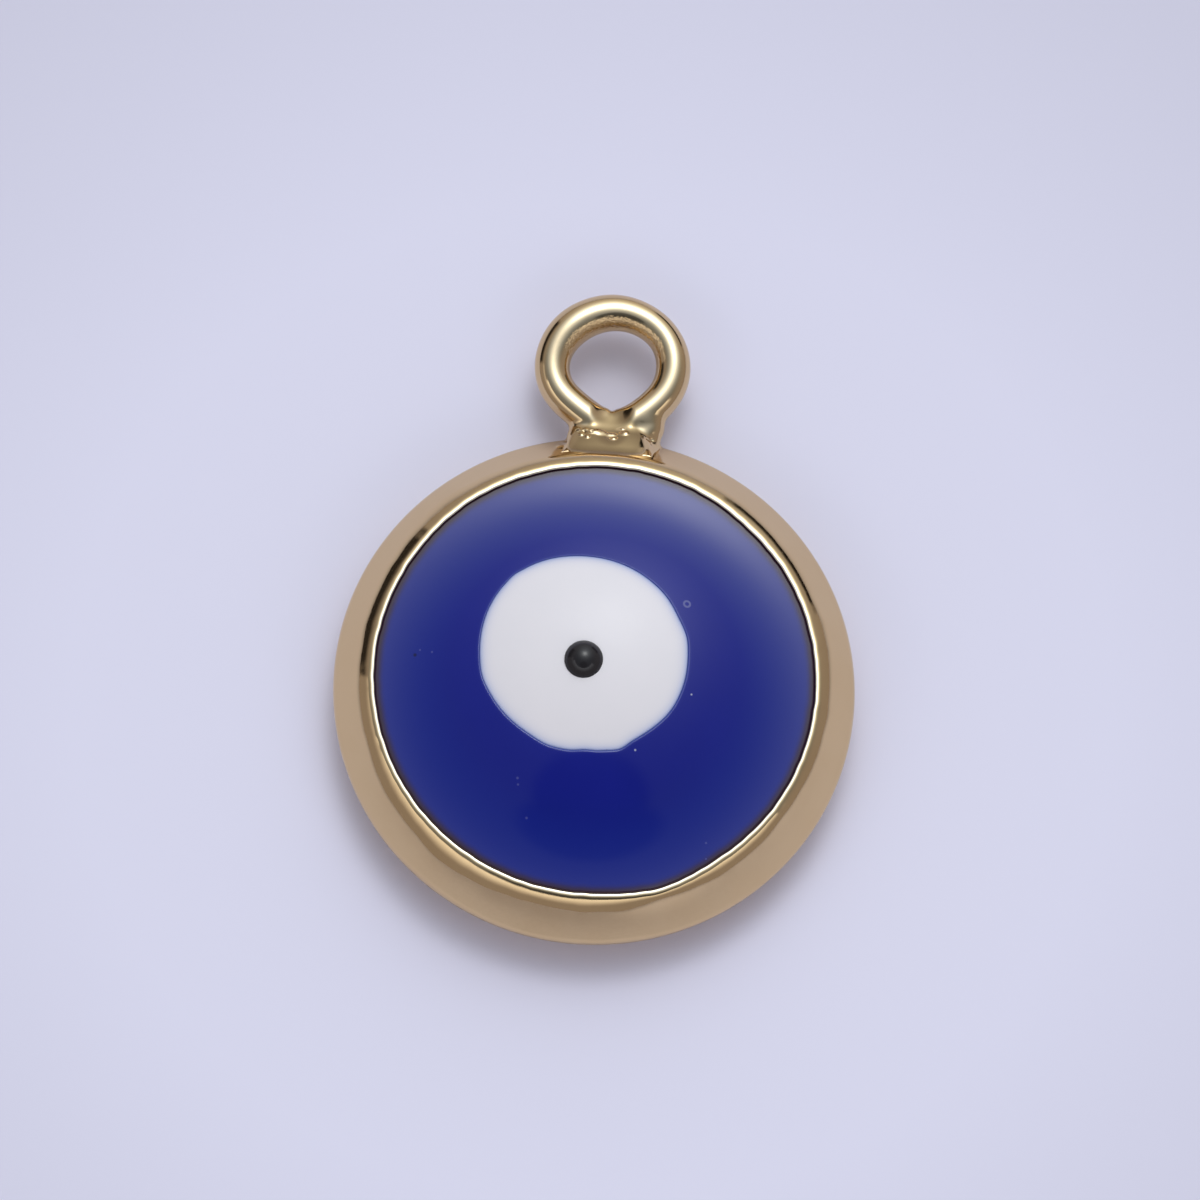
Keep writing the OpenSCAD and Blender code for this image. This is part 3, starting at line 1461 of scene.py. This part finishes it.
    def rough(self) -> bpy.types.Object:
        """Lay out a plain ring, balls and blocks, which are still to be fused.

        Returns:
            The rough pieces, joined.
        """
        s = self.sizes
        Bench.clear()
        bpy.ops.mesh.primitive_torus_add(
            location=(0, s.ring_y, s.mid_h),
            major_segments=self.ring_facets[0],
            minor_segments=self.ring_facets[1],
            major_radius=s.ring_r,
            minor_radius=s.wire_r,
        )
        pieces = [bpy.context.object]
        for lump in self.lumps:
            Bench.clear()
            bpy.ops.mesh.primitive_uv_sphere_add(
                radius=1,
                location=(lump.x, lump.y, lump.z),
                scale=(lump.rx, min(lump.ry, self.ball_most), lump.rz),
                rotation=(-math.radians(lump.tilt), 0, 0),
            )
            pieces.append(bpy.context.object)
        for place, scale in self.blocks:
            Bench.clear()
            bpy.ops.mesh.primitive_cube_add(size=1, location=place, scale=scale)
            pieces.append(bpy.context.object)
        for piece in pieces:
            Bench.pick(piece)
            bpy.ops.object.transform_apply(location=True, rotation=True, scale=True)
        return Bench.join(pieces, "hanging_ring")

    def build(self) -> bpy.types.Object:
        """Fuse, settle and dress the ring and its solder.

        Returns:
            The ring with its joint.
        """
        obj = self.rough()
        Bench.apply(obj, "REMESH", mode="VOXEL", voxel_size=self.first_voxel)
        Bench.apply(obj, "SMOOTH", factor=self.soften, iterations=4)
        Bench.shape(obj, lambda points: self.settle(points, False))
        Bench.apply(obj, "REMESH", mode="VOXEL", voxel_size=self.voxel)
        Bench.shape(obj, lambda points: self.settle(points, False))
        Bench.apply(obj, "SMOOTH", factor=self.soften, iterations=3)
        Bench.shape(obj, lambda points: self.settle(points, True))
        self.mark_wear_and_highlight(obj)
        Bench.shape(obj, self.inner_grain)
        return Bench.finish(obj, self.finish, Slot.GOLD, "gold_setting")


# ---------------------------------------------------------------- enamel


@dataclass
class EnamelCoat:
    """A coat of enamel between two closed lines on the dome, with its own thickness."""

    sizes: PendantSizes
    coat: Coat
    finish: bpy.types.Material
    lip: LipLine = field(default_factory=LipLine)
    spot_swerves: Sequence[Swerve] = (
        Swerve(-67.0, 6.0, 0.052),
        Swerve(-86.0, 6.5, -0.040),
        Swerve(-108.0, 8.0, 0.022),
        Swerve(-33.0, 12.0, 0.022),
        Swerve(12.0, 9.0, 0.034),
        Swerve(38.0, 12.0, 0.018),
        Swerve(133.0, 5.0, 0.018),
        Swerve(-164.0, 8.0, 0.018),
    )
    spot_ripples: Sequence[Ripple] = (
        Ripple(2, 0.050, math.radians(69)),
        Ripple(3, 0.010, math.radians(-43)),
        Ripple(5, 0.011, math.radians(63)),
    )
    # depth of the seat under the pupil, and laps of the coat at its edges
    seat_depth: float = 0.3
    seat_lap: float = 0.02
    wall_lap: float = 0.010
    seam_lap: float = 0.004
    # where the colour turns at the rim, at the wall (painted shade) and along the seam
    rim_from: float = 2.1
    rim_run: float = 1.6
    wall_shade_depth: float = 0.115
    seam_blur: Mapping[Coat, float] = field(
        default_factory=lambda: {Coat.GROUND: 0.018, Coat.SPOT: 0.065}
    )
    steps: int = 512
    rings: int = 56

    def spot_line(self, angle: np.ndarray, inset: float) -> np.ndarray:
        """Outline of the white spot, laid by hand and not quite round.

        Args:
            angle: directions from the spot's middle, in radians.
            inset: distance that the line keeps inside the outline.

        Returns:
            Points as rows of x and y.
        """
        s = self.sizes
        strays = stray(np.degrees(angle), self.spot_swerves, self.spot_ripples)
        radius = s.spot_r - inset + strays
        middle = np.array([s.spot_x, s.spot_y])
        return middle + radius[:, None] * np.stack([np.cos(angle), np.sin(angle)], 1)

    def inner_line(self, angle: np.ndarray) -> np.ndarray:
        """Inner edge of the coat.

        Args:
            angle: directions, in radians.

        Returns:
            Points as rows of x and y.
        """
        if self.coat is Coat.GROUND:
            return self.spot_line(angle, 0.0)
        s = self.sizes
        seat = s.pupil_r - self.seat_lap
        middle = np.array([s.pupil_x, s.pupil_y])
        return middle + seat * np.stack([np.cos(angle), np.sin(angle)], 1)

    def outer_line(self, angle: np.ndarray) -> np.ndarray:
        """Outer edge of the coat.

        Args:
            angle: directions, in radians.

        Returns:
            Points as rows of x and y.
        """
        if self.coat is Coat.SPOT:
            return self.spot_line(angle, self.seam_lap)
        wall = Dome(self.sizes).enamel_r + self.wall_lap
        radius = wall + self.lip.shift(np.degrees(angle))
        return radius[:, None] * np.stack([np.cos(angle), np.sin(angle)], 1)

    def build(self) -> bpy.types.Object:
        """Turn the coat as a plain washer, lay it onto the dome and dress it.

        Returns:
            The coat of enamel.
        """
        washer = [(0.0, -1.0), (2.0, -1.0)]
        washer += [(1.0 + t, 0.0) for t in np.linspace(0, 1, self.rings)[::-1]]
        washer += [(1.0, -0.5), (0.0, -0.5)]
        obj = Bench.turn(self.coat.value, washer, self.steps)
        Bench.shape(obj, self.lay)
        self.mark_edges(obj)
        if self.coat is Coat.GROUND:
            return Bench.finish(obj, self.finish, Slot.BLUE, "blue_enamel")
        return Bench.finish(obj, self.finish, Slot.WHITE, "white_enamel")

    def lay(self, points: np.ndarray) -> np.ndarray:
        """Lay the washer's points onto the dome or onto the coat's own floor.

        Args:
            points: the washer's points, as rows of x, y and z.

        Returns:
            The moved points.
        """
        s, dome = self.sizes, Dome(self.sizes)
        seam_h = dome.top - s.spot_depth
        if self.coat is Coat.GROUND:
            low, floor = s.floor_t + s.fit_gap, seam_h
        else:
            low, floor = seam_h + s.fit_gap, dome.top - self.seat_depth
        radius = np.hypot(points[:, 0], points[:, 1])
        angle = np.arctan2(points[:, 1], points[:, 0])
        share = np.clip(radius - 1, 0, 1)[:, None]
        inner, outer = self.inner_line(angle), self.outer_line(angle)
        moved = np.empty_like(points)
        moved[:, :2] = inner + (outer - inner) * share
        moved[radius < 0.5, :2] = np.array([s.spot_x, s.spot_y])
        moved[:, 2] = np.where(points[:, 2] < -0.75, low, floor)
        top = points[:, 2] > -0.25
        moved[top, 2] = dome.height(np.hypot(moved[top, 0], moved[top, 1]))
        return moved

    def mark_edges(self, obj: bpy.types.Object) -> None:
        """Store how near each point lies to the seam, to the rim and to the wall, along
        which shade is painted.

        Args:
            obj: the coat, in millimetres.
        """
        s = self.sizes
        points = Bench.read(obj)
        middle = np.array([s.spot_x, s.spot_y])
        away = points[:, :2] - middle
        seam = self.spot_line(np.arctan2(away[:, 1], away[:, 0]), 0.0) - middle
        gap = np.abs(np.hypot(*seam.T) - np.hypot(*away.T))
        reach = np.hypot(points[:, 0], points[:, 1])
        rim = np.clip((reach - self.rim_from) / self.rim_run, 0, 1)
        edge = Dome(s).enamel_r + self.lip.shift(bearing(points))
        # painted shade: a dark band along the gold wall at the enamel's edge
        wall = np.clip(edge - reach, 0, None) / self.wall_shade_depth
        shares = {
            "seam_share": np.exp(-gap / self.seam_blur[self.coat]),
            "rim_share": rim * rim * (3 - 2 * rim),
            "wall_shade_share": np.exp(-(wall**3)),
        }
        Bench.mark(obj, shares)


@dataclass
class BlackPupil:
    """Small glossy bead that stands on the white."""

    sizes: PendantSizes
    finish: bpy.types.Material
    steps: int = 96

    def build(self) -> bpy.types.Object:
        """Turn the bead and set it in its seat.

        Returns:
            The pupil.
        """
        s = self.sizes
        away = np.array([math.hypot(s.pupil_x, s.pupil_y)])
        base = float(Dome(s).height(away)[0])
        low = base - s.pupil_seat + s.fit_gap
        cap_r = (s.pupil_r**2 + s.pupil_rise**2) / (2 * s.pupil_rise)
        lean = math.degrees(math.asin(s.pupil_r / cap_r))
        cap = arc(0.0, base + s.pupil_rise - cap_r, cap_r, np.linspace(lean, 0, 32))
        profile = np.concatenate([[(0.0, low), (s.pupil_r, low)], cap])
        obj = Bench.turn("pupil_bead", profile, self.steps)
        place = np.array([s.pupil_x, s.pupil_y, 0.0])
        Bench.shape(obj, lambda points: points + place)
        return Bench.finish(obj, self.finish, Slot.BLACK, "black_enamel")


# ---------------------------------------------------------------- studio


@dataclass
class Table:
    """Pale floor under the pendant."""

    finish: bpy.types.Material
    side: float = 4.0

    def build(self) -> bpy.types.Object:
        """Lay the floor.

        Returns:
            The floor.
        """
        Bench.clear()
        bpy.ops.mesh.primitive_plane_add(size=self.side, location=(0, 0, 0))
        obj = bpy.context.object
        obj.name = obj.data.name = "floor"
        obj.data.materials.append(self.finish)
        return obj


@dataclass
class StudioCamera:
    """Camera at the photograph's angle: steeply from above, a little from the front."""

    tilt: float = 14.8
    swing: float = 1.45
    roll: float = 4.7
    distance: float = 0.28
    mm_per_px: float = 0.01916
    middle_px: tuple[float, float] = (594.0, 690.7)
    middle_h: float = 0.875
    sensor: float = 36.0
    clip: tuple[float, float] = (0.01, 20.0)

    def axes(self) -> tuple[Vector, Vector, Vector]:
        """Right, up and back directions of the camera.

        Returns:
            Three unit vectors.
        """
        tilt, swing, roll = map(math.radians, (self.tilt, self.swing, self.roll))
        away = Vector((math.sin(swing), math.cos(swing), 0))
        back = -away * math.sin(tilt) + Vector((0, 0, math.cos(tilt)))
        rise = away * math.cos(tilt) + Vector((0, 0, math.sin(tilt)))
        side = rise.cross(back)
        right = side * math.cos(roll) + rise * math.sin(roll)
        up = rise * math.cos(roll) - side * math.sin(roll)
        return right, up, back

    def build(self) -> bpy.types.Object:
        """Place the camera and make it the scene's.

        Returns:
            The camera.
        """
        right, up, back = self.axes()
        px = self.mm_per_px * MM
        half = IMAGE_SIDE / 2
        middle = Vector((0, 0, self.middle_h * MM))
        aim = middle + right * (half - self.middle_px[0]) * px
        aim -= up * (half - self.middle_px[1]) * px
        data = bpy.data.cameras.new("camera")
        data.sensor_width = self.sensor
        data.lens = self.sensor * self.distance / (IMAGE_SIDE * px)
        data.clip_start, data.clip_end = self.clip
        obj = bpy.data.objects.new("camera", data)
        bpy.context.scene.collection.objects.link(obj)
        turn = Matrix((right, up, back)).transposed().to_4x4()
        obj.matrix_world = Matrix.Translation(aim + back * self.distance) @ turn
        bpy.context.scene.camera = obj
        return obj


@dataclass(frozen=True)
class Glow:
    """A soft round light, placed by the lean of the face that mirrors it."""

    right: float
    up: float
    spread: float
    strength: float
    colour: Colour = (1.0, 1.0, 1.0)


@dataclass(frozen=True)
class Screen:
    """A patch of the walls between two bearings and two heights, in degrees."""

    bearing: float
    half_width: float
    low: float
    high: float
    side_blur: float
    low_blur: float
    high_blur: float
    strength: float


@dataclass
class SoftLight:
    """Plain soft room: one soft lamp behind, pale walls and a dimmer patch above.

    All is light of the world, so pieces are lit and mirrored by the same surroundings.
    """

    camera: StudioCamera
    gain: float = 1.3
    zenith: Colour = (0.17, 0.19, 0.22)
    wall: Colour = (0.285, 0.262, 0.268)
    glows: Sequence[Glow] = (
        Glow(4.0, 22.5, 7.5, 3.4, (1.0, 0.995, 0.98)),
        Glow(4.0, 22.5, 17.0, 1.6, (0.94, 1.0, 1.02)),
        Glow(8.0, 36.0, 20.0, 0.36, (0.85, 1.0, 1.05)),
    )
    pale: Sequence[Screen] = (
        Screen(-96.75, 78.75, 36.0, 44.5, 2.0, 16.0, 1.5, 1.05),
        Screen(175.75, 8.75, 36.0, 34.0, 2.0, 16.0, 5.0, 1.05),
    )
    dark: Sequence[Screen] = (
        Screen(148.5, 18.0, -2.0, 22.0, 2.0, 1.0, 9.0, 0.92),
        Screen(50.0, 14.0, -2.0, 11.0, 2.0, 1.0, 4.0, 0.96),
    )
    pale_colour: Colour = (0.98, 0.98, 1.0)
    climb: tuple[float, float] = (18.0, 58.0)
    dim_at: tuple[float, float] = (0.3, -6.5)
    dim_size: tuple[float, float] = (9.3, 8.0)
    dim_edge: tuple[float, float] = (0.72, 1.35)
    dim_depth: float = 0.68

    def face(self, right: float, up: float) -> Vector:
        """Direction of a face that leans from the camera.

        Args:
            right: lean to the right, in degrees.
            up: lean upwards, in degrees.

        Returns:
            The face's unit vector.
        """
        x, y, back = self.camera.axes()
        lean = x * math.tan(math.radians(right)) + y * math.tan(math.radians(up)) + back
        return lean.normalized()

    def glow(self, board: NodeBoard, direction: Socket, glow: Glow) -> Socket:
        """Share of a soft light in each direction.

        Args:
            board: the world's nodes.
            direction: the direction.
            glow: the light.

        Returns:
            Its share, from 0 to 1.
        """
        back = self.camera.axes()[2]
        face = self.face(glow.right, glow.up)
        towards = 2 * face.dot(back) * face - back
        less = board.math("SUBTRACT", board.dot(direction, towards), 1.0)
        power = board.math("MULTIPLY", less, 1 / math.radians(glow.spread) ** 2)
        return board.math("EXPONENT", power)

    def screen(
        self,
        board: NodeBoard,
        bearing_at: Socket,
        height_at: Socket,
        screen: Screen,
    ) -> Socket:
        """Cover of a wall patch in each direction.

        Args:
            board: the world's nodes.
            bearing_at: bearing of the direction, in degrees.
            height_at: its height, in degrees.
            screen: the patch.

        Returns:
            Its cover, from 0 to 1.
        """
        turn = board.math("SUBTRACT", bearing_at, screen.bearing)
        turn = board.math("ABSOLUTE", board.math("WRAP", turn, 180.0, -180.0))
        half, blur = screen.half_width, screen.side_blur
        side = board.spread(turn, half - blur, half + blur, 1.0, 0.0, soft=True)
        low, blur = screen.low, screen.low_blur
        lower = board.spread(height_at, low - blur, low + blur, soft=True)
        high, blur = screen.high, screen.high_blur
        upper = board.spread(height_at, high - blur, high + blur, 1.0, 0.0, soft=True)
        return board.math("MULTIPLY", side, board.math("MULTIPLY", lower, upper))

    def overhead(self, board: NodeBoard, direction: Socket) -> Socket:
        """Cover of the dimmer patch, which faces near the viewing direction mirror.

        Args:
            board: the world's nodes.
            direction: the direction.

        Returns:
            Its cover, from 0 to 1.
        """
        right, up, back = self.camera.axes()
        half = board.vector("ADD", direction, back).outputs[0]
        depth = board.dot(half, back)
        total = 0.0
        for axis, middle, size in zip((right, up), self.dim_at, self.dim_size):
            lean = board.math("DIVIDE", board.dot(half, axis), depth)
            away = board.math("SUBTRACT", lean, math.tan(math.radians(middle)))
            away = board.math("DIVIDE", away, math.tan(math.radians(size)))
            total = board.math("ADD", board.math("MULTIPLY", away, away), total)
        return board.spread(total, *self.dim_edge, 1.0, 0.0, soft=True)

    @staticmethod
    def lit(board: NodeBoard, total: Socket, share: Socket, colour: Colour) -> Socket:
        """Add a coloured light to the light so far.

        Args:
            board: the world's nodes.
            total: the light so far.
            share: share of the new light.
            colour: its colour at full share.

        Returns:
            The sum.
        """
        return board.vector("ADD", total, board.scaled(colour, share)).outputs[0]

    @staticmethod
    def dimmed(board: NodeBoard, total: Socket, cover: Socket, depth: float) -> Socket:
        """Dim the light so far.

        Args:
            board: the world's nodes.
            total: the light so far.
            cover: where it is dimmed, from 0 to 1.
            depth: share of the light that full cover takes away.

        Returns:
            The dimmed light.
        """
        return board.scaled(total, board.math("MULTIPLY_ADD", cover, -depth, 1.0))

    def build(self) -> bpy.types.World:
        """Make the world's shader.

        Returns:
            The world.
        """
        board = NodeBoard.sky("soft_room")
        direction = board.add("ShaderNodeTexCoord").outputs["Generated"]
        split = board.add("ShaderNodeSeparateXYZ")
        board.link(direction, split.inputs[0])
        x, y, z = split.outputs
        degree = math.degrees(1.0)
        height_at = board.math("MULTIPLY", board.math("ARCSINE", z), degree)
        bearing_at = board.math("MULTIPLY", board.math("ARCTAN2", y, x), degree)
        up = board.spread(height_at, *self.climb, soft=True)
        total = board.mix(up, self.wall, self.zenith)
        for screen in self.pale:
            cover = self.screen(board, bearing_at, height_at, screen)
            colour = tuple(part * screen.strength for part in self.pale_colour)
            total = self.lit(board, total, cover, colour)
        cover = self.overhead(board, direction)
        total = self.dimmed(board, total, cover, self.dim_depth)
        for glow in self.glows:
            share = self.glow(board, direction, glow)
            colour = tuple(part * glow.strength for part in glow.colour)
            total = self.lit(board, total, share, colour)
        for screen in self.dark:
            cover = self.screen(board, bearing_at, height_at, screen)
            total = self.dimmed(board, total, cover, screen.strength)
        background = board.add("ShaderNodeBackground", Strength=self.gain)
        board.link(total, background.inputs["Color"])
        output = board.add("ShaderNodeOutputWorld")
        board.link(background.outputs[0], output.inputs["Surface"])
        return board.owner


# ---------------------------------------------------------------- assembly

BLUE_SPECKS = (
    Speck(1.671, 1.446, 2.297, 0.060, Tone.CLEAR, bubble=True),
    Speck(0.836, -1.520, 2.438, 0.024, Tone.PALE),
    Speck(1.849, -0.357, 2.398, 0.022, Tone.PALE),
    Speck(-3.458, 0.251, 1.843, 0.040, Tone.DEEP),
    Speck(-3.368, 0.349, 1.865, 0.022, Tone.FAINT),
    Speck(-3.137, 0.305, 1.936, 0.024, Tone.FAINT),
    Speck(-2.871, -3.318, 1.720, 0.035, Tone.DEEP),
    Speck(-1.370, -2.135, 2.178, 0.030, Tone.FAINT),
    Speck(-1.353, -2.253, 2.142, 0.026, Tone.FAINT),
    Speck(-1.155, -2.854, 1.961, 0.028, Tone.FAINT),
    Speck(2.286, -3.093, 1.764, 0.026, Tone.FAINT),
    Speck(2.303, -3.397, 1.729, 0.020, Tone.FAINT),
)


def main() -> None:
    """Build the pendant and its studio, piece by piece."""
    logging.basicConfig(level=logging.INFO, format="%(name)s %(message)s")
    sizes = PendantSizes()
    camera = StudioCamera()
    camera.build()
    SoftLight(camera).build()
    Table(PaperFinish().make()).build()

    gold = GoldFinish().make()
    blue = EnamelFinish(
        "blue_enamel_glass",
        (0.0070, 0.0122, 0.232),
        (0.0078, 0.0132, 0.246),
        washes=(
            Wash("rim_share", (0.0078, 0.0185, 0.240)),
            Wash("seam_share", (0.06, 0.09, 0.38)),
            # painted shade along the gold wall
            Wash("wall_shade_share", (0.030, 0.011, 0.030)),
        ),
        specks=BLUE_SPECKS,
    ).make()
    white = EnamelFinish(
        "white_enamel_glass",
        (0.865, 0.83, 0.865),
        (0.885, 0.845, 0.88),
        gloss=0.18,
        washes=(Wash("seam_share", (0.28, 0.36, 0.68)),),
    ).make()
    black = EnamelFinish(
        "black_enamel_glass", (0.018, 0.016, 0.018), (0.022, 0.020, 0.022)
    ).make()

    for part in (
        GoldSetting(sizes, gold),
        RingJoint(sizes, gold),
        EnamelCoat(sizes, Coat.GROUND, blue),
        EnamelCoat(sizes, Coat.SPOT, white),
        BlackPupil(sizes, black),
    ):
        piece = part.build()
        triangles = sum(len(face.vertices) - 2 for face in piece.data.polygons)
        log.info("%s: %d triangles", piece.name, triangles)

    bpy.context.scene.view_settings.view_transform = "Standard"


if __name__ == "__main__":
    main()
